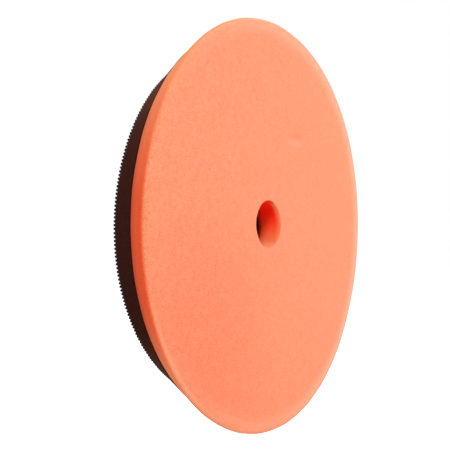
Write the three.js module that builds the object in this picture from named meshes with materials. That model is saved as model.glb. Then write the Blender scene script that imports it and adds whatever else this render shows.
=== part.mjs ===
// A foam polishing pad for a car polisher, built as the laminate it is: six layers glued to each
// other, each one a ring around the same centre hole.
//
// Millimetres, +Z up. The pad's axis is the Y axis, so the disc stands upright: the polishing face
// looks along -Y and the loop face along +Y. The origin is the centre of the loop face, where the
// machine's backing plate sits.

import * as THREE from 'three';

// Driving dimensions
const FACE_DIAMETER = 165; // the widest part, just behind the polishing face
const LOOP_FACE_DIAMETER = 137;
const HOLE_DIAMETER = 19;
const FACE_EDGE_RADIUS = 1.8; // rounding between the polishing face and the side
const HOLE_LIP_RADIUS = 0.8; // rounding between the polishing face and the hole
const BOND_RECESS = 0.3; // how far an adhesive film stops short of the layers' cut edges

const POLISHING_FOAM = 9.5; // thickness of each layer, from the polishing face backwards
const FOAM_BOND = 0.3;
const INTERFACE_FOAM = 12.3;
const BACKING_BOND = 0.2;
const GROUND_CLOTH = 0.7;
const LOOP_PILE = 1.2;

const SEGMENTS = 72; // sides of each ring
const ARC_STEPS = 4; // straight pieces in each rounded edge

// Dimensions that follow from the ones above
const FACE_RADIUS = FACE_DIAMETER / 2;
const LOOP_FACE_RADIUS = LOOP_FACE_DIAMETER / 2;
const HOLE_RADIUS = HOLE_DIAMETER / 2;
const THICKNESS = POLISHING_FOAM + FOAM_BOND + INTERFACE_FOAM + BACKING_BOND + GROUND_CLOTH + LOOP_PILE;
const FACE_Y = -THICKNESS;
const RIDGE_Y = FACE_Y + FACE_EDGE_RADIUS; // where the rounded edge runs into the cone

// The side is one cone through all the layers, widest at the ridge.
function sideRadius(y) {
  return THREE.MathUtils.mapLinear(y, RIDGE_Y, 0, FACE_RADIUS, LOOP_FACE_RADIUS);
}

// A rounded corner: points on a quarter circle about (centreR, centreY), in the (radius, y) plane.
function cornerArc(centreR, centreY, radius, startAngle) {
  const points = [];
  for (let step = 0; step <= ARC_STEPS; step++) {
    const angle = startAngle + (Math.PI / 2) * (step / ARC_STEPS);
    points.push(new THREE.Vector2(centreR + radius * Math.cos(angle), centreY + radius * Math.sin(angle)));
  }
  return points;
}

// A ring about the Y axis. The section runs anticlockwise in the (radius, y) plane and closes on itself.
function ring(name, section, material) {
  const closed = [...section, section[0].clone()];
  const mesh = new THREE.Mesh(new THREE.LatheGeometry(closed, SEGMENTS), material);
  mesh.name = name;
  return mesh;
}

// A flat layer between two planes, cut by the cone outside and by the hole inside.
function flatLayer(name, frontY, backY, recess, material) {
  const section = [
    new THREE.Vector2(HOLE_RADIUS + recess, frontY),
    new THREE.Vector2(sideRadius(frontY) - recess, frontY),
    new THREE.Vector2(sideRadius(backY) - recess, backY),
    new THREE.Vector2(HOLE_RADIUS + recess, backY),
  ];
  return ring(name, section, material);
}

// The polishing foam, with its rounded front edge and the rounded lip of its hole.
function polishingFoam(name, backY, material) {
  const lipCentreR = HOLE_RADIUS + HOLE_LIP_RADIUS;
  const edgeCentreR = FACE_RADIUS - FACE_EDGE_RADIUS;
  const section = [
    ...cornerArc(lipCentreR, FACE_Y + HOLE_LIP_RADIUS, HOLE_LIP_RADIUS, Math.PI),
    ...cornerArc(edgeCentreR, RIDGE_Y, FACE_EDGE_RADIUS, -Math.PI / 2),
    new THREE.Vector2(sideRadius(backY), backY),
    new THREE.Vector2(HOLE_RADIUS, backY),
  ];
  return ring(name, section, material);
}

const orangeFoam = new THREE.MeshStandardMaterial({ color: 0xf98a5a, roughness: 0.95, metalness: 0 });
const darkFoam = new THREE.MeshStandardMaterial({ color: 0x2e1812, roughness: 0.95, metalness: 0 });
const adhesive = new THREE.MeshStandardMaterial({ color: 0x571008, roughness: 0.45, metalness: 0 });
const blackFabric = new THREE.MeshStandardMaterial({ color: 0x0c0a0a, roughness: 0.9, metalness: 0 });

const pad = new THREE.Group();
const foamBondY = FACE_Y + POLISHING_FOAM;
const interfaceY = foamBondY + FOAM_BOND;
const backingBondY = interfaceY + INTERFACE_FOAM;
const clothY = backingBondY + BACKING_BOND;
const pileY = clothY + GROUND_CLOTH;

pad.add(polishingFoam('polishing_foam', foamBondY, orangeFoam));
pad.add(flatLayer('foam_bond', foamBondY, interfaceY, BOND_RECESS, adhesive));
pad.add(flatLayer('interface_foam', interfaceY, backingBondY, 0, darkFoam));
pad.add(flatLayer('backing_bond', backingBondY, clothY, BOND_RECESS, adhesive));
pad.add(flatLayer('loop_ground_cloth', clothY, pileY, 0, blackFabric));
pad.add(flatLayer('loop_pile', pileY, 0, 0, blackFabric));

export default pad;
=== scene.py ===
import math

import bpy
import numpy as np
from mathutils import Matrix, Vector, noise


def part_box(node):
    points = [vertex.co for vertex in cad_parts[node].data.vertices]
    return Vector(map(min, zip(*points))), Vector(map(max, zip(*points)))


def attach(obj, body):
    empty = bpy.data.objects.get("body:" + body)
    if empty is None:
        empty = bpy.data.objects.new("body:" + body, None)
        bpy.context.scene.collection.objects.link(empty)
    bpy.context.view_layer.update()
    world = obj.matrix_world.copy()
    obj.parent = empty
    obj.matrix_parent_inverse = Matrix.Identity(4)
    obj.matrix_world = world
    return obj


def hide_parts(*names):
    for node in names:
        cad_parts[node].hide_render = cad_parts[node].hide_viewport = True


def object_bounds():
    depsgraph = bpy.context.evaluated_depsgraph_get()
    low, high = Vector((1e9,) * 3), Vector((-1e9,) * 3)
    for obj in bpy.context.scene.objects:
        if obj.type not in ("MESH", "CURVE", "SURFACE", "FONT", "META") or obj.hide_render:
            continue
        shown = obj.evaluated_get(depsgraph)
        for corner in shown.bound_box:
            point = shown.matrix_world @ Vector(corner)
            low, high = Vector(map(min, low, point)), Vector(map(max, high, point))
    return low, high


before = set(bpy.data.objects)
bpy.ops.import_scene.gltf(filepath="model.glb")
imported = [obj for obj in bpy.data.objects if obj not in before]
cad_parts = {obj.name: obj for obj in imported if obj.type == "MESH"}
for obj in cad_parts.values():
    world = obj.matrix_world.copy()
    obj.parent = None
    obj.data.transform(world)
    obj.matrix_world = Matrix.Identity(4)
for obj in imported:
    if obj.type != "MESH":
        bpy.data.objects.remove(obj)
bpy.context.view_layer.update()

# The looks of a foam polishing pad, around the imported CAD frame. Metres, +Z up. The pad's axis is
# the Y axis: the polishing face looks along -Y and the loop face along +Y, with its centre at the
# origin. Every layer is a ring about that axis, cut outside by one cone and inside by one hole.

MM = 0.001
SEED = 11

# ---------------------------------------------------------------- sizes, read from the CAD frame


def planes(node):
    """The front and back plane of a layer, as Y positions."""
    low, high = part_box(node)
    return low.y, high.y


def hole_radius():
    """The radius of the centre hole, from the inner wall of the plain foam layer."""
    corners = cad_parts["interface_foam"].data.vertices
    return min(math.hypot(v.co.x, v.co.z) for v in corners)


FACE_Y, FOAM_BACK = planes("polishing_foam")
BOND_FRONT, BOND_BACK = planes("foam_bond")
INTERFACE_FRONT, INTERFACE_BACK = planes("interface_foam")
BACKING_FRONT, BACKING_BACK = planes("backing_bond")
CLOTH_FRONT, CLOTH_BACK = planes("loop_ground_cloth")
PILE_FRONT, PILE_BACK = planes("loop_pile")
FACE_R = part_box("polishing_foam")[1].x
HOLE_R = hole_radius()

# The cone goes through the widest points of two layers.
CONE_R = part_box("interface_foam")[1].x
CONE_SLOPE = (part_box("loop_pile")[1].x - CONE_R) / (PILE_FRONT - INTERFACE_FRONT)
CONE_LEAN = math.degrees(math.atan(-CONE_SLOPE))  # between the cone's side and the axis

EDGE_ROUND = 1.8 * MM  # rounding between the polishing face and the cone
LIP_ROUND = 0.45 * MM  # rounding of the hole's lip in the polishing face
DARK_ROUND = 0.22 * MM  # rounding of the dark foam's edges
CLOTH_ROUND = 0.15 * MM
BOND_ROUND = 0.05 * MM
BOND_RECESS = 0.12 * MM  # how far an adhesive film stops short of the cut edges

WALE = 1.42 * MM  # distance between the loop fabric's columns of loops
COURSE = 1.42 * MM  # distance between its rows of loops

SEGMENTS = 576  # steps around the axis
CORNER_STEPS = 3  # steps in each corner of a plain layer
HIDDEN_STEP = 12 * MM  # step along the orange foam's covered back


def cone_radius(y):
    """The radius of the pad's side at a Y position."""
    return CONE_R + (y - INTERFACE_FRONT) * CONE_SLOPE


# ---------------------------------------------------------------- lathe work

TRUE_PLACE = "true_place"  # the mesh attribute with each point's place before the waves
HOLE_OFFSET = 0.35 * MM  # how far the hole was cut off the rim's centre, along X

# A soft pad is never quite true. Each term of its waves is (waves around the rim, height at the rim
# in millimetres, phase in degrees).
OUT_OF_ROUND = ((2, 0.68, 111), (3, 0.30, 149))
OUT_OF_FLAT = ((2, 0.16, 144), (3, 0.33, -47))
JOINT_WAVES = ((1, 0.68, 140),)  # the two foams' shares of the thickness differ around the joint
LOOP_FACE_WAVES = ((2, 1.08, 32),)  # what the soft dark layer adds at the loop face


def waves(terms, theta):
    """The sum of the terms at an angle around the rim, in metres."""
    return sum(size * MM * np.cos(n * theta - math.radians(phase)) for n, size, phase in terms)


def untrue(radius, y, theta):
    """Points of the pad at a radius, Y and angle, with the pad's slight waves, as an array of XYZ."""
    share = (radius / FACE_R) ** 2
    at_joint = np.interp(y, (FACE_Y, FOAM_BACK, PILE_BACK), (0, 1, 0))
    at_loops = np.interp(y, (FOAM_BACK, PILE_BACK), (0, 1))
    lift = waves(OUT_OF_FLAT, theta)
    lift = lift + at_joint * waves(JOINT_WAVES, theta) + at_loops * waves(LOOP_FACE_WAVES, theta)
    r = radius + share * waves(OUT_OF_ROUND, theta)
    out = y + share * lift
    x = r * np.cos(theta) + (1 - share) * HOLE_OFFSET
    return np.stack([x, out, r * np.sin(theta)], axis=-1)


def run(start, end, step):
    """Points from start up to, but not including, end, in the (radius, y) plane."""
    count = max(1, round(math.dist(start, end) / step))
    return [tuple(s + (e - s) * i / count for s, e in zip(start, end)) for i in range(count)]


def bend(centre, radius, first, last, steps):
    """Points on an arc, in the (radius, y) plane. The angles are in degrees."""
    angles = [math.radians(first + (last - first) * i / steps) for i in range(steps + 1)]
    return [(centre[0] + radius * math.cos(a), centre[1] + radius * math.sin(a)) for a in angles]


def mesh_object(name, points, faces):
    """A smooth-shaded object in the scene."""
    mesh = bpy.data.meshes.new(name)
    mesh.from_pydata(points.tolist(), [], faces.tolist())
    mesh.shade_smooth()
    mesh.update()
    piece = bpy.data.objects.new(name, mesh)
    bpy.context.scene.collection.objects.link(piece)
    return piece


def lathe(name, section):
    """
    A ring from a closed section, which runs anticlockwise in the (radius, y) plane. Each point
    keeps the place that it would have with no waves, for the materials.
    """
    radius, y = np.array(section).T
    theta = np.linspace(0, math.tau, SEGMENTS, endpoint=False)[:, None]
    points = untrue(radius[None, :], y[None, :], theta).reshape(-1, 3)
    plain = np.stack([radius * np.cos(theta), y + 0 * theta, radius * np.sin(theta)], axis=-1)
    count = len(section)
    i, j = np.meshgrid(np.arange(SEGMENTS), np.arange(count), indexing="ij")
    i2, j2 = (i + 1) % SEGMENTS, (j + 1) % count
    corners = [i * count + j, i * count + j2, i2 * count + j2, i2 * count + j]
    faces = np.stack(corners, axis=-1).reshape(-1, 4)
    piece = mesh_object(name, points, faces)
    kept = piece.data.attributes.new(TRUE_PLACE, "FLOAT_VECTOR", "POINT")
    kept.data.foreach_set("vector", plain.ravel())
    return piece


def relief(piece, layers):
    """Moves each point along its normal by noise: layers of (depth, size of the lumps)."""
    mesh = piece.data
    count = len(mesh.vertices)
    points, normals = np.empty(count * 3), np.empty(count * 3)
    mesh.vertices.foreach_get("co", points)
    mesh.vertex_normals.foreach_get("vector", normals)
    points, normals = points.reshape(-1, 3), normals.reshape(-1, 3)
    push = np.zeros(count)
    for depth, size in layers:
        push += depth * np.array([noise.noise(Vector(p)) for p in points / size])
    mesh.vertices.foreach_set("co", (points + normals * push[:, None]).ravel())
    mesh.update()


def plain_section(front, back, recess, rounding, wall_step, flat_step):
    """The section of a flat layer with rounded corners. Its cut edges stop short by the recess."""
    inner = HOLE_R + recess
    front_outer, back_outer = cone_radius(front) - recess, cone_radius(back) - recess
    c = rounding
    corners = [
        bend((inner + c, front + c), c, 180, 270, CORNER_STEPS),
        bend((front_outer - c, front + c), c, 270, 360 + CONE_LEAN, CORNER_STEPS),
        bend((back_outer - c, back - c), c, CONE_LEAN, 90, CORNER_STEPS),
        bend((inner + c, back - c), c, 90, 180, CORNER_STEPS),
    ]
    section = []
    steps = (flat_step, wall_step, flat_step, wall_step)
    for corner, after, step in zip(corners, corners[1:] + corners[:1], steps):
        section += corner[:-1] + run(corner[-1], after[0], step)
    return section


# ---------------------------------------------------------------- materials


class Nodes:
    """
    A material's node tree, with short calls for the nodes that the materials below share. A lathed
    piece is textured by its points' places before the waves, and any other by its points as they are.
    """

    def __init__(self, name, lathed=False):
        self.material = bpy.data.materials.new(name)
        self.material.use_nodes = True
        self.tree = self.material.node_tree
        self.tree.nodes.clear()
        self.shader = self.add("ShaderNodeBsdfPrincipled")
        output = self.add("ShaderNodeOutputMaterial")
        self.link(self.shader.outputs[0], output.inputs["Surface"])
        if lathed:
            self.place = self.add("ShaderNodeAttribute", attribute_name=TRUE_PLACE).outputs["Vector"]
        else:
            self.place = self.add("ShaderNodeTexCoord").outputs["Object"]
        self.mm = self.vector("SCALE", self.place, scale=1 / MM)

    def add(self, kind, **settings):
        node = self.tree.nodes.new(kind)
        for key, value in settings.items():
            setattr(node, key, value)
        return node

    def link(self, source, target):
        self.tree.links.new(source, target)

    def feed(self, socket, value):
        """Links value to a socket if it is a socket itself, and sets it otherwise."""
        if isinstance(value, bpy.types.NodeSocket):
            self.link(value, socket)
        else:
            socket.default_value = value

    def vector(self, operation, a, b=None, scale=None):
        """The result of a vector operation, which is a number for a length."""
        node = self.add("ShaderNodeVectorMath", operation=operation)
        self.feed(node.inputs[0], a)
        if b is not None:
            self.feed(node.inputs[1], b)
        if scale is not None:
            self.feed(node.inputs["Scale"], scale)
        return node.outputs["Value" if operation == "LENGTH" else "Vector"]

    def math(self, operation, a, b=0.0, c=0.0):
        node = self.add("ShaderNodeMath", operation=operation)
        for socket, value in zip(node.inputs, (a, b, c)):
            self.feed(socket, value)
        return node.outputs[0]

    def split(self, vector):
        node = self.add("ShaderNodeSeparateXYZ")
        self.link(vector, node.inputs[0])
        return node.outputs

    def axis_distance(self):
        """Distance from the pad's axis, in metres."""
        return self.vector("LENGTH", self.vector("MULTIPLY", self.place, (1, 0, 1)))

    def distance(self, place):
        """Distance from a point, in metres."""
        return self.vector("LENGTH", self.vector("SUBTRACT", self.place, place))

    def mark(self, place, half_width, half_height):
        """1 at a place on the polishing face, falling to 0 at the edge of an ellipse around it."""
        offset = self.vector("SUBTRACT", self.place, place)
        shares = self.vector("MULTIPLY", offset, (1 / half_width, 0, 1 / half_height))
        return self.ramp(self.vector("LENGTH", shares), 1.0, 0.0)

    def noise(self, size, detail=2.0, roughness=0.5):
        """Noise with lumps of a size in millimetres, from 0 to 1."""
        node = self.add("ShaderNodeTexNoise")
        self.link(self.mm, node.inputs["Vector"])
        node.inputs["Scale"].default_value = 1 / size
        node.inputs["Detail"].default_value = detail
        node.inputs["Roughness"].default_value = roughness
        return node.outputs[0]

    def cells(self, size):
        """Distance from the middle of the nearest cell, for cells of a size in millimetres."""
        node = self.add("ShaderNodeTexVoronoi", feature="F1")
        self.link(self.mm, node.inputs["Vector"])
        node.inputs["Scale"].default_value = 1 / size
        return node.outputs["Distance"]

    def ramp(self, value, low, high, out_low=0.0, out_high=1.0):
        """A smooth step of value from low to high."""
        node = self.add("ShaderNodeMapRange", interpolation_type="SMOOTHSTEP")
        for socket, entry in zip(node.inputs, (value, low, high, out_low, out_high)):
            self.feed(socket, entry)
        return node.outputs[0]

    def flat_ramp(self, value, low, high):
        """A straight slope of value, from 0 at low to 1 at high."""
        node = self.add("ShaderNodeMapRange")
        for socket, entry in zip(node.inputs, (value, low, high)):
            self.feed(socket, entry)
        return node.outputs[0]

    def mix(self, share, a, b, blend="MIX"):
        """Colour a where share is 0, and b where it is 1."""
        node = self.add("ShaderNodeMix", data_type="RGBA", blend_type=blend)
        self.feed(node.inputs["Factor"], share)
        self.feed(node.inputs["A"], a)
        self.feed(node.inputs["B"], b)
        return node.outputs["Result"]

    def bump(self, height, depth, strength):
        """Normals that shade a height, of which 1 stands for a depth in metres."""
        node = self.add("ShaderNodeBump")
        node.inputs["Strength"].default_value = strength
        node.inputs["Distance"].default_value = depth
        self.link(height, node.inputs["Height"])
        return node.outputs[0]

    def finish(self, **inputs):
        """Sets the shader's inputs by name, with underscores for spaces."""
        for key, value in inputs.items():
            self.feed(self.shader.inputs[key.replace("_", " ").title().replace("Ior", "IOR")], value)
        return self.material


def linear(level):
    """The linear value of a level on an sRGB screen, from 0 to 255."""
    return ((level / 255 + 0.055) / 1.055) ** 2.4 if level > 10 else level / 255 / 12.92


def rgb(red, green, blue):
    """A colour given as it looks on a screen, 0 to 255, in the linear values that shaders take."""
    return linear(red), linear(green), linear(blue), 1


FOAM_CELL, FOAM_PATCH, FOAM_PORE = 0.62, 1.8, 2.3  # sizes in the foams' texture, in millimetres


def foam_grain(nodes):
    """Open cells: their mottling, sparse open pores, the bumps' height, and the cells' distances."""
    cells = nodes.cells(FOAM_CELL)
    coarse = nodes.math("MULTIPLY", nodes.noise(FOAM_PATCH), 0.34)
    mottle = nodes.math("MULTIPLY_ADD", nodes.noise(FOAM_CELL), 0.66, coarse)
    pores = nodes.ramp(nodes.cells(FOAM_PORE), 0.10, 0.24, 1.0, 0.0)
    height = nodes.math("MULTIPLY_ADD", nodes.noise(0.45, 3, 0.6), 0.6, cells)
    height = nodes.math("MULTIPLY_ADD", pores, -0.5, height)
    return mottle, pores, height, cells


def painted_light_top_bottom(nodes, z):
    """Painted light where it falls strongest on the pad's sides: most at the top, and less at the
    bottom.
    """
    top = nodes.ramp(z, 3 * MM, 77 * MM, 0.0, 0.85)
    bottom = nodes.ramp(z, -25 * MM, -66 * MM, 0.0, 0.7)
    return nodes.math("ADD", top, bottom)


SHADE_PLACE = (-50 * MM, FACE_Y, -42 * MM)  # the middle of the painted shade on the polishing face's lower left
CREASE_PLACE = (23.5 * MM, FACE_Y, 36.7 * MM)  # a small crease in the polishing face, with painted shade above it
CREASE_HIGHLIGHT_PLACE = (22.0 * MM, FACE_Y, 33.6 * MM)  # its lower side, where a painted highlight stands for the light it catches


def face_colour(nodes, grain, radius, x):
    """Pale coral, smoother towards +X, with painted shade at the lower left and painted light at the +X
    rim.
    """
    contrast = nodes.ramp(x, -80 * MM, 80 * MM, 1.1, 0.6)
    face_grain = nodes.math("MULTIPLY_ADD", nodes.math("SUBTRACT", grain, 0.5), contrast, 0.5)
    colour = nodes.mix(face_grain, rgb(253, 141, 100), rgb(255, 162, 122))
    specks = nodes.math("MULTIPLY", nodes.ramp(nodes.noise(0.55), 0.48, 0.74), contrast)
    colour = nodes.mix(specks, colour, (0.76, 0.82, 0.81, 1), blend="MULTIPLY")
    # painted shade: deeper towards the lower left of the face
    painted_shade = nodes.ramp(nodes.distance(SHADE_PLACE), 70 * MM, 5 * MM)
    colour = nodes.mix(painted_shade, colour, (1.0, 0.85, 0.85, 1), blend="MULTIPLY")

    # painted light: paler towards the rim on the +X side
    near_rim = nodes.ramp(radius, FACE_R - 8.5 * MM, FACE_R - 1.5 * MM)
    rim_light = nodes.math("MULTIPLY", near_rim, nodes.ramp(x, -90 * MM, 70 * MM))
    return nodes.mix(rim_light, colour, rgb(255, 175, 140))


def edge_colour(nodes, colour, radius, x, z):
    """The face's colour on the rounded edge, with painted shade, most on the +X side, and painted light
    at the bottom.
    """
    # painted shade: the rounded edge a little darker and duller
    rounded = nodes.ramp(radius, FACE_R - 3.4 * MM, FACE_R - 2.4 * MM)
    colour = nodes.mix(rounded, colour, (0.97, 0.99, 0.96, 1), blend="MULTIPLY")
    # painted shade where the edge turns away from the light, on the +X side
    turning = nodes.ramp(radius, FACE_R - 2.4 * MM, FACE_R - 1.0 * MM)
    shaded = nodes.math("MULTIPLY", turning, nodes.ramp(x, -10 * MM, 40 * MM))
    colour = nodes.mix(shaded, colour, (0.80, 0.82, 0.84, 1), blend="MULTIPLY")
    # painted light on the ridge at the bottom
    ridge = nodes.ramp(radius, FACE_R - 1.7 * MM, FACE_R - 0.8 * MM)
    bottom = nodes.math("MULTIPLY", ridge, nodes.ramp(z, -10 * MM, -60 * MM))
    return nodes.mix(bottom, colour, rgb(249, 165, 125))


def crease_shading(nodes, colour):
    """The face's colour with its one small crease, in painted shade above and a painted highlight below.
    """
    # painted shade above the crease and a painted highlight below it
    crease = nodes.mark(CREASE_PLACE, 8.0 * MM, 2.6 * MM)
    colour = nodes.mix(crease, colour, (0.97, 0.85, 0.82, 1), blend="MULTIPLY")
    crease_highlight = nodes.mark(CREASE_HIGHLIGHT_PLACE, 9.0 * MM, 3.0 * MM)
    return nodes.mix(crease_highlight, colour, rgb(255, 159, 122))


def side_colour(nodes, grain, before, z):
    """The cut side: a deeper orange that is partly painted shade, duller towards the joint, and painted
    paler at the top and bottom.
    """
    side = nodes.mix(grain, rgb(232, 79, 36), rgb(241, 95, 49))
    side = nodes.mix(nodes.ramp(before, 4.0 * MM, 0.3 * MM), side, rgb(202, 82, 50))
    # painted light: paler at the top and the bottom of the side
    return nodes.mix(painted_light_top_bottom(nodes, z), side, rgb(232, 153, 106))


def hole_colour(nodes, behind, x, z):
    """
    The hole's wall. Light goes through the foam more than once there, and only its red comes back.
    The wall is palest at the bottom, where the light falls on it, and at the lip on the +X side.
    """
    lit = nodes.flat_ramp(z, 6 * MM, -9.5 * MM)
    deep = nodes.mix(nodes.math("MULTIPLY", lit, lit), rgb(255, 31, 2), rgb(255, 166, 104))
    lip = nodes.ramp(behind, 3.2 * MM, -0.4 * MM, 0.0, 0.85)
    pale_lip = nodes.math("MULTIPLY", lip, nodes.ramp(x, 0.5 * MM, 6 * MM))
    deep = nodes.mix(pale_lip, deep, rgb(255, 156, 104))

    # the lip's upper part is in shade, most on the -X side
    upper_left = nodes.ramp(nodes.math("SUBTRACT", z, x), 2 * MM, 7 * MM)
    shade = nodes.math("MULTIPLY", nodes.ramp(behind, 2.5 * MM, 0.3 * MM), upper_left)
    deep = nodes.mix(shade, deep, (0.62, 0.75, 1.0, 1), blend="MULTIPLY")
    return nodes.mix(nodes.ramp(z, -6 * MM, -9.5 * MM), deep, rgb(255, 170, 130))


def orange_foam():
    """The polishing foam: its face, its rounded edge, its cut side and the wall of its hole."""
    nodes = Nodes("orange_foam", lathed=True)
    mottle, pores, height, cells = foam_grain(nodes)
    grain = nodes.ramp(mottle, 0.3, 0.7)
    radius = nodes.axis_distance()
    x, y, z = nodes.split(nodes.place)
    behind = nodes.math("SUBTRACT", y, FACE_Y)
    before = nodes.math("SUBTRACT", FOAM_BACK, y)

    colour = face_colour(nodes, grain, radius, x)
    colour = crease_shading(nodes, edge_colour(nodes, colour, radius, x, z))
    side = side_colour(nodes, grain, before, z)
    # the face and the side are one foam; the side's deeper orange is painted shade in part
    colour = nodes.mix(nodes.ramp(behind, 0.5 * MM, 1.9 * MM), colour, side)
    in_hole = nodes.ramp(radius, HOLE_R + 0.5 * MM, HOLE_R)
    colour = nodes.mix(in_hole, colour, hole_colour(nodes, behind, x, z))

    # the adhesive soaks into the last cells before the joint, and the cells' hollows and open pores get
    # painted shade
    soaked = nodes.math("SUBTRACT", nodes.ramp(before, 0.12 * MM, 0.0), in_hole)
    colour = nodes.mix(nodes.ramp(soaked, 0.0, 1.0), colour, rgb(92, 12, 4))
    colour = nodes.mix(nodes.math("MULTIPLY", pores, 0.12), colour, rgb(205, 84, 48))
    colour = nodes.mix(nodes.ramp(cells, 0.15, 0.75, 0.12, 0.0), colour, rgb(205, 80, 44))
    return nodes.finish(
        base_color=colour,
        roughness=nodes.ramp(mottle, 0.2, 0.8, 0.86, 0.98),
        normal=nodes.bump(height, 0.16 * MM, 0.5),
        specular_ior_level=0.1,
    )


def dark_foam():
    """The dark foam: brown-black, with painted light at the top and bottom, and stained by the adhesive
    at the joint.
    """
    nodes = Nodes("dark_foam", lathed=True)
    mottle, pores, height, cells = foam_grain(nodes)
    colour = nodes.mix(nodes.ramp(mottle, 0.3, 0.7), rgb(46, 15, 9), rgb(58, 22, 13))
    # painted shade in the cells' hollows and the open pores
    colour = nodes.mix(nodes.ramp(cells, 0.1, 0.8, 0.35, 0.0), colour, rgb(34, 15, 11))
    colour = nodes.mix(nodes.math("MULTIPLY", pores, 0.6), colour, rgb(20, 8, 6))

    _, y, z = nodes.split(nodes.place)
    # painted light: paler where more light falls, most at the top and less at the bottom
    colour = nodes.mix(nodes.math("POWER", painted_light_top_bottom(nodes, z), 2.5), colour, rgb(135, 90, 70))

    # the adhesive soaks into the first cells behind the joint; near the hole, the red band is brighter
    # and goes deeper
    behind = nodes.math("SUBTRACT", y, INTERFACE_FRONT)
    reach = nodes.ramp(nodes.axis_distance(), HOLE_R + 1.5 * MM, HOLE_R + 0.5 * MM)
    glue = nodes.mix(reach, rgb(72, 10, 4), rgb(205, 54, 28))
    reach = nodes.math("MULTIPLY_ADD", reach, 0.6 * MM, 0.5 * MM)
    colour = nodes.mix(nodes.ramp(behind, reach, 0.2 * MM), colour, glue)
    return nodes.finish(
        base_color=colour,
        roughness=nodes.ramp(mottle, 0.2, 0.8, 0.84, 0.97),
        normal=nodes.bump(height, 0.18 * MM, 0.6),
        specular_ior_level=0.0,
        sheen_weight=0.022,
        sheen_tint=rgb(255, 205, 185),
    )


def adhesive():
    """Dark red adhesive, uneven in tone and gloss."""
    nodes = Nodes("adhesive", lathed=True)
    runs = nodes.noise(1.6, 3)
    colour = nodes.mix(nodes.ramp(runs, 0.3, 0.7), rgb(66, 8, 3), rgb(96, 14, 6))
    return nodes.finish(
        base_color=colour,
        roughness=nodes.ramp(runs, 0.3, 0.7, 0.35, 0.6),
        normal=nodes.bump(nodes.noise(0.5, 3), 0.08 * MM, 0.5),
        specular_ior_level=0.15,
    )


def knit():
    """The loop fabric's ground: rows of small chain stitches."""
    nodes = Nodes("knit", lathed=True)
    x, _, z = nodes.split(nodes.mm)
    wale = nodes.math("SINE", nodes.math("MULTIPLY", x, math.tau / WALE * MM))
    course = nodes.math("SINE", nodes.math("MULTIPLY", z, math.tau / COURSE * MM))
    stitch = nodes.math("MULTIPLY", wale, course)
    fibre = nodes.noise(0.25, 3)
    height = nodes.math("MULTIPLY_ADD", fibre, 0.5, stitch)
    # darker where the stitches are low: painted shade in their hollows
    colour = nodes.mix(nodes.ramp(height, -0.6, 1.2), rgb(10, 8, 8), rgb(34, 30, 30))
    return nodes.finish(
        base_color=colour,
        roughness=nodes.ramp(fibre, 0.2, 0.8, 0.75, 0.95),
        normal=nodes.bump(height, 0.2 * MM, 0.7),
    )


def yarn_cover(name, dark, pale, specular, sheen):
    """Black nylon filaments, from a dark to a pale tone."""
    nodes = Nodes(name)
    strand = nodes.noise(0.35, 3)
    patch = nodes.noise(9.0, 2)
    colour = nodes.mix(nodes.ramp(strand, 0.3, 0.7), dark, pale)
    colour = nodes.mix(nodes.ramp(patch, 0.3, 0.7, 0.0, 0.4), colour, dark)
    return nodes.finish(
        base_color=colour,
        roughness=nodes.ramp(strand, 0.2, 0.8, 0.45, 0.7),
        normal=nodes.bump(nodes.noise(0.12, 2), 0.03 * MM, 0.5),
        specular_ior_level=specular,
        sheen_weight=sheen,
        sheen_roughness=0.4,
    )


# ---------------------------------------------------------------- pieces


def settle(piece, node, material):
    """Puts a finished piece on the pad in place of its plain CAD node."""
    piece.data.materials.append(material)
    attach(piece, "root")
    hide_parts(node)


def make_polishing_foam():
    """The orange disc, with a rounded front edge and a rounded lip around the hole."""
    step = 0.8 * MM
    lip, edge = LIP_ROUND, EDGE_ROUND
    lip_arc = bend((HOLE_R + lip, FACE_Y + lip), lip, 180, 270, 6)
    edge_arc = bend((FACE_R - edge, FACE_Y + edge), edge, 270, 360 + CONE_LEAN, 8)
    back_edge, back_hole = (cone_radius(FOAM_BACK), FOAM_BACK), (HOLE_R, FOAM_BACK)
    section = lip_arc[:-1] + run(lip_arc[-1], edge_arc[0], step)
    section += edge_arc[:-1] + run(edge_arc[-1], back_edge, step)
    section += run(back_edge, back_hole, HIDDEN_STEP) + run(back_hole, lip_arc[0], step)
    piece = lathe("polishing_foam_disc", section)
    relief(piece, ((0.10 * MM, 9 * MM), (0.035 * MM, 1.7 * MM)))
    settle(piece, "polishing_foam", orange_foam())


def make_interface_foam():
    """The dark disc. Only its cut edges show, so its flats have longer steps."""
    wall_step, flat_step = 0.7 * MM, 3 * MM
    section = plain_section(INTERFACE_FRONT, INTERFACE_BACK, 0, DARK_ROUND, wall_step, flat_step)
    piece = lathe("interface_foam_disc", section)
    relief(piece, ((0.08 * MM, 8 * MM), (0.05 * MM, 1.5 * MM)))
    settle(piece, "interface_foam", dark_foam())


def make_bond(name, node, front, back, material):
    """An adhesive film, whose edge is a thin uneven bead in the joint."""
    step = 6 * MM
    piece = lathe(name, plain_section(front, back, BOND_RECESS, BOND_ROUND, step, step))
    relief(piece, ((0.08 * MM, 3 * MM),))
    settle(piece, node, material)


def make_bonds():
    """The two adhesive films, before and behind the dark foam."""
    glue = adhesive()
    make_bond("foam_bond_film", "foam_bond", BOND_FRONT, BOND_BACK, glue)
    make_bond("backing_bond_film", "backing_bond", BACKING_FRONT, BACKING_BACK, glue)


def make_ground_cloth():
    """The loop fabric's knitted ground, laid flat on the dark foam."""
    step = 1.5 * MM
    section = plain_section(CLOTH_FRONT, CLOTH_BACK, 0, CLOTH_ROUND, step, step)
    piece = lathe("loop_ground_cloth_sheet", section)
    relief(piece, ((0.06 * MM, 2.2 * MM),))
    settle(piece, "loop_ground_cloth", knit())


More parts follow.
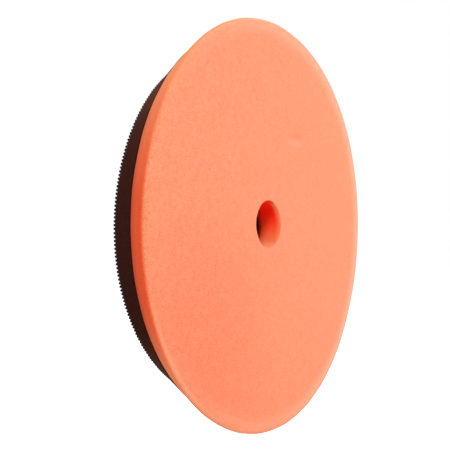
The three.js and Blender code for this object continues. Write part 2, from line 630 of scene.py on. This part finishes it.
LOOP_HEIGHT = PILE_BACK - PILE_FRONT
LOOP_WIDTH = 0.86 * MM
LOOP_ROOT = 0.15 * MM  # how deep a loop's feet go into the cloth
RIM_ROW = cone_radius(PILE_BACK) + 0.2 * MM  # the outermost loops stand on this circle
PILE_SPLIT = 49.5 * MM  # the loops inside and outside this circle are separate pieces
HOLE_MARGIN = 0.6 * MM  # between the hole and the feet of the nearest loops
RIM_MARGIN = 0.9 * MM  # between the outermost row and the field inside it

# The loops' height, how much they differ from each other, the steps along each, and the sides and
# the radius of its yarn. The cut has pressed the outermost loops down.
FIELD_LOOPS = {"height": LOOP_HEIGHT, "spread": 1.0, "steps": 6, "sides": 4, "yarn": 0.19 * MM}
RIM_LOOPS = {"height": 0.72 * LOOP_HEIGHT, "spread": 0.25, "steps": 10, "sides": 8, "yarn": 0.47 * MM}


def grid_feet(inner, outer):
    """Where loops stand on the cloth between two circles, in staggered rows, and how they face."""
    half = int(outer / COURSE) + 2
    i, j = np.meshgrid(np.arange(-half, half + 1), np.arange(-half, half + 1))
    x = (i + 0.5 * (j % 2)) * WALE
    z = j * COURSE
    keep = (np.hypot(x, z) >= inner) & (np.hypot(x, z) < outer)
    return np.stack([x[keep], z[keep]], axis=-1), np.zeros(keep.sum())


def rim_feet():
    """Where the row along the cut edge stands, and how its loops face: across the edge."""
    count = round(math.tau * RIM_ROW / COURSE)
    theta = np.linspace(0, math.tau, count, endpoint=False)
    return RIM_ROW * np.stack([np.cos(theta), np.sin(theta)], axis=-1), theta


def loop_lines(feet, facing, loops, random):
    """The loops' centre lines, each of its own size and lean, and the sideways vector of each."""
    count, spread = len(feet), loops["spread"]
    feet = feet + random.normal(0, 0.08 * MM * spread, feet.shape)
    turn = (facing + random.normal(0, math.radians(24) * spread, count))[:, None]
    lean_x, lean_z = random.normal(0, 0.16 * spread, (2, count, 1))
    height = loops["height"] * random.uniform(1 - 0.22 * spread, 1.0, count)[:, None]
    width = LOOP_WIDTH * random.uniform(1 - 0.2 * spread, 1 + 0.15 * spread, count)[:, None]
    twist = random.normal(0, 0.16 * MM * spread, count)[:, None]

    angle = np.linspace(0, math.pi, loops["steps"] + 1)[None, :]
    across = -0.5 * width * np.cos(angle) * (0.5 + 0.5 * np.sin(angle))
    aside = twist * np.sin(2 * angle)
    up = -LOOP_ROOT + (height - loops["yarn"] + LOOP_ROOT) * np.sin(angle) ** 0.75
    x = feet[:, :1] + across * np.cos(turn) - aside * np.sin(turn) + lean_x * up
    z = feet[:, 1:] + across * np.sin(turn) + aside * np.cos(turn) + lean_z * up
    line = untrue(np.hypot(x, z), CLOTH_BACK + up, np.arctan2(z, x))
    return line, np.stack([-np.sin(turn), 0 * turn, np.cos(turn)], axis=-1)


def unit(vectors):
    """Vectors of length 1 in the same directions."""
    return vectors / np.linalg.norm(vectors, axis=-1, keepdims=True)


def tubes(name, line, side, loops):
    """A piece with one tube of yarn around each centre line, thickest at its top."""
    count, rings = line.shape[:2]
    sides = loops["sides"]
    along = unit(np.gradient(line, axis=1))
    over = unit(np.cross(along, np.broadcast_to(side, along.shape)))
    side = np.cross(over, along)
    angle = math.tau * np.arange(sides) / sides
    c, s = np.cos(angle)[:, None], np.sin(angle)[:, None]
    radius = loops["yarn"] * (0.7 + 0.4 * np.sin(np.linspace(0, math.pi, rings)))[:, None, None]
    points = line[:, :, None] + radius * (c * side[:, :, None] + s * over[:, :, None])

    ring, n = np.meshgrid(np.arange(rings - 1), np.arange(sides), indexing="ij")
    n2 = (n + 1) % sides
    first, second = ring * sides, (ring + 1) * sides
    wall = np.stack([first + n, first + n2, second + n2, second + n], axis=-1).reshape(-1, 4)
    starts = (np.arange(count) * rings * sides)[:, None, None]
    faces = (wall[None] + starts).reshape(-1, 4)
    return mesh_object(name, points.reshape(-1, 3), faces)


def make_pile():
    """Loops of yarn standing out of the ground cloth: two fields of them, and a row along the rim."""
    random = np.random.default_rng(SEED)
    loose = yarn_cover("loose_yarn", rgb(12, 10, 10), rgb(40, 36, 35), 0.35, 0.25)
    # the rim row's yarn is a darker, less shiny copy of the same yarn: painted shade
    painted_shade = yarn_cover("shaded_rim_yarn", rgb(3, 2, 2), rgb(10, 8, 8), 0.05, 0.0)
    inner = grid_feet(HOLE_R + HOLE_MARGIN, PILE_SPLIT)
    outer = grid_feet(PILE_SPLIT, RIM_ROW - RIM_MARGIN)
    fields = (
        ("loop_pile_inner", inner, FIELD_LOOPS, loose),
        ("loop_pile_outer", outer, FIELD_LOOPS, loose),
        ("loop_pile_rim", rim_feet(), RIM_LOOPS, painted_shade),
    )
    for name, (feet, facing), loops, material in fields:
        line, side = loop_lines(feet, facing, loops, random)
        settle(tubes(name, line, side, loops), "loop_pile", material)


# ---------------------------------------------------------------- camera, stage and lights

CAMERA_AZIMUTH, CAMERA_ELEVATION, CAMERA_ROLL = -57.065, -0.496, -0.623
CAMERA_DISTANCE = 464.0 * MM
CAMERA_AIM = (2.84 * MM, 0.17 * MM)  # right of and above the centre of the loop face
CAMERA_LENS = 90.0  # millimetres, for Blender's usual 36 mm sensor

FLOOR_RADIUS = 8.0  # metres, wide enough to fill the picture from any side
FLOOR_GAP = 0.1 * MM  # between the floor and the pad's lowest point
FLOOR_GLOW, FLOOR_GLOW_SEEN = 0.20, 0.97  # what the floor gives the pad, and what the camera sees
WORLD_GLOW, WORLD_GLOW_SEEN = 0.03, 1.0
WHITE = (1, 1, 1, 1)


def back_vector(azimuth, elevation):
    """From the pad towards a viewer or lamp. Azimuth 0 faces the polishing face, and 90 is at +X."""
    a, e = math.radians(azimuth), math.radians(elevation)
    return Vector((math.sin(a) * math.cos(e), -math.cos(a) * math.cos(e), math.sin(e)))


def make_camera():
    """A camera at the photo's viewpoint, with no depth of field."""
    back = back_vector(CAMERA_AZIMUTH, CAMERA_ELEVATION)
    azimuth = math.radians(CAMERA_AZIMUTH)
    level = Vector((math.cos(azimuth), math.sin(azimuth), 0))
    upright = back.cross(level)
    roll = math.radians(CAMERA_ROLL)
    right = math.cos(roll) * level + math.sin(roll) * upright
    up = back.cross(right)
    place = level * CAMERA_AIM[0] + upright * CAMERA_AIM[1] + back * CAMERA_DISTANCE
    data = bpy.data.cameras.new("camera")
    data.lens = CAMERA_LENS
    data.clip_start = 10 * MM
    camera = bpy.data.objects.new("camera", data)
    turn = Matrix((right, up, back)).transposed().to_4x4()
    camera.matrix_world = Matrix.Translation(place) @ turn
    bpy.context.scene.collection.objects.link(camera)
    bpy.context.scene.camera = camera


def make_floor():
    """A pale floor under the pad's lowest point, which looks nearly white even where it is in shadow."""
    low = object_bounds()[0].z
    place = (0, 0, low - FLOOR_GAP)
    bpy.ops.mesh.primitive_circle_add(radius=FLOOR_RADIUS, fill_type="NGON", location=place)
    floor = bpy.context.object
    floor.name = "floor"
    nodes = Nodes("floor_paint")
    seen = nodes.add("ShaderNodeLightPath").outputs["Is Camera Ray"]
    glow = nodes.math("MULTIPLY_ADD", seen, FLOOR_GLOW_SEEN - FLOOR_GLOW, FLOOR_GLOW)
    floor.data.materials.append(
        nodes.finish(
            base_color=(0.8, 0.8, 0.8, 1),
            roughness=1.0,
            specular_ior_level=0.0,
            emission_color=WHITE,
            emission_strength=glow,
        )
    )


def make_lamp(name, azimuth, elevation, distance, size, strength, tint=(1, 1, 1)):
    """A square soft box that faces the middle of the pad."""
    middle = Vector((0, (FACE_Y + PILE_BACK) / 2, 0))
    back = back_vector(azimuth, elevation)
    data = bpy.data.lights.new(name, "AREA")
    data.shape, data.size = "SQUARE", size
    data.energy = strength
    data.color = tint
    lamp = bpy.data.objects.new(name, data)
    lamp.location = middle + back * distance
    lamp.rotation_euler = back.to_track_quat("Z", "Y").to_euler()
    bpy.context.scene.collection.objects.link(lamp)


def make_world():
    """Even soft light from all sides, which the camera sees as plain white."""
    world = bpy.data.worlds.new("studio")
    world.use_nodes = True
    tree = world.node_tree
    tree.nodes.clear()
    path = tree.nodes.new("ShaderNodeLightPath")
    seen, light = (tree.nodes.new("ShaderNodeBackground") for _ in range(2))
    for background, strength in ((seen, WORLD_GLOW_SEEN), (light, WORLD_GLOW)):
        background.inputs["Color"].default_value = WHITE
        background.inputs["Strength"].default_value = strength
    mix = tree.nodes.new("ShaderNodeMixShader")
    output = tree.nodes.new("ShaderNodeOutputWorld")
    tree.links.new(path.outputs["Is Camera Ray"], mix.inputs[0])
    tree.links.new(light.outputs[0], mix.inputs[1])
    tree.links.new(seen.outputs[0], mix.inputs[2])
    tree.links.new(mix.outputs[0], output.inputs[0])
    bpy.context.scene.world = world


def make_stage():
    """Everything around the pad. Each lamp has an azimuth, elevation, distance, size and strength."""
    make_camera()
    make_floor()
    make_world()
    make_lamp("key", 44, 28, 0.62, 0.35, 2.5, tint=(1, 1, 1.12))
    make_lamp("window", -60, 34, 1.20, 0.30, 8.2)
    make_lamp("top", -150, 80, 0.7, 0.4, 2.5)
    make_lamp("side", -110, 6, 0.8, 0.5, 0.25)
    make_lamp("rear", 165, 28, 0.9, 0.5, 3.0)
    bpy.context.scene.view_settings.view_transform = "Standard"


make_polishing_foam()
make_interface_foam()
make_bonds()
make_ground_cloth()
make_pile()
make_stage()
